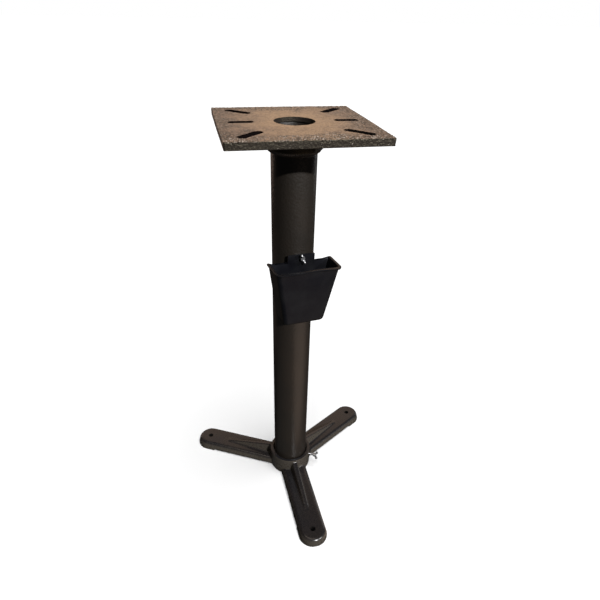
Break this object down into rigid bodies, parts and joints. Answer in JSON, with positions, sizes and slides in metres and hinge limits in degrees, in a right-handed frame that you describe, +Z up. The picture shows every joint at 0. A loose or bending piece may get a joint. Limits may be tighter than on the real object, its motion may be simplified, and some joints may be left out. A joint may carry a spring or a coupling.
{
  "type": "bench grinder pedestal stand",
  "caption": "Pedestal stand for a bench grinder: slotted square top plate on a tubular column, three-legged cast base, clamp screw and hanging water pot.",
  "frame": {"origin": "on the column's axis at the floor, which is the centre of the circle through the three floor bolt holes", "axes": "+Z up along the column; -Y the front, where the front leg and the water pot are; +X right"},
  "size_m": [0.4378, 0.3946, 0.788],
  "materials": {
    "plate_finish": "rough cast plate under a thin brown hammered paint",
    "column_paint": "semi-gloss dark brown-black hammered paint on steel tube",
    "weld_paint": "painted weld",
    "base_iron": "semi-gloss dark paint on a casting",
    "stud_zinc": "bright zinc-plated thread",
    "wing_metal": "die-cast, tumbled",
    "pot_plastic": "matt black moulding"
  },
  "bodies": {
    "base": {"tripod_base": "base_iron"},
    "column": {"column_tube": "column_paint", "weld_bead": "weld_paint", "top_plate": "plate_finish"},
    "clamp_screw": {"clamp_stud": "stud_zinc"},
    "clamp_screw_head": {"clamp_wing": "wing_metal"},
    "pot": {"water_pot": "pot_plastic"},
    "pot_screw": {"pot_stud": "stud_zinc"},
    "pot_screw_head": {"pot_wing": "wing_metal"}
  },
  "joints": [
    {"name": "column_swivel", "type": "hinge", "parent": "base", "child": "column", "pos_m": [0, 0, 0.01], "axis": [0, 0, 1], "continuous": true},
    {"name": "clamp_screw_travel", "type": "slide", "parent": "base", "child": "clamp_screw", "axis": [0.8838, -0.4679, 0], "range_m": [0, 0.003]},
    {"name": "clamp_screw_turn", "type": "hinge", "parent": "clamp_screw", "child": "clamp_screw_head", "pos_m": [0.05347, -0.02831, 0.035], "axis": [0.8838, -0.4679, 0], "range_deg": [0, 1080]},
    {"name": "pot_swing", "type": "hinge", "parent": "column", "child": "pot", "pos_m": [0.00698, -0.03766, 0.577], "axis": [0.1822, -0.9833, 0], "continuous": true},
    {"name": "pot_screw_travel", "type": "slide", "parent": "column", "child": "pot_screw", "axis": [0.1822, -0.9833, 0], "range_m": [0, 0.003]},
    {"name": "pot_screw_turn", "type": "hinge", "parent": "pot_screw", "child": "pot_screw_head", "pos_m": [0.00749, -0.04041, 0.577], "axis": [0.1822, -0.9833, 0], "range_deg": [0, 1080]}
  ],
  "couplings": [
    {"joint": "clamp_screw_turn", "follows": "clamp_screw_travel", "rad_per_m": 6283.2},
    {"joint": "pot_screw_turn", "follows": "pot_screw_travel", "rad_per_m": 6283.2}
  ]
}
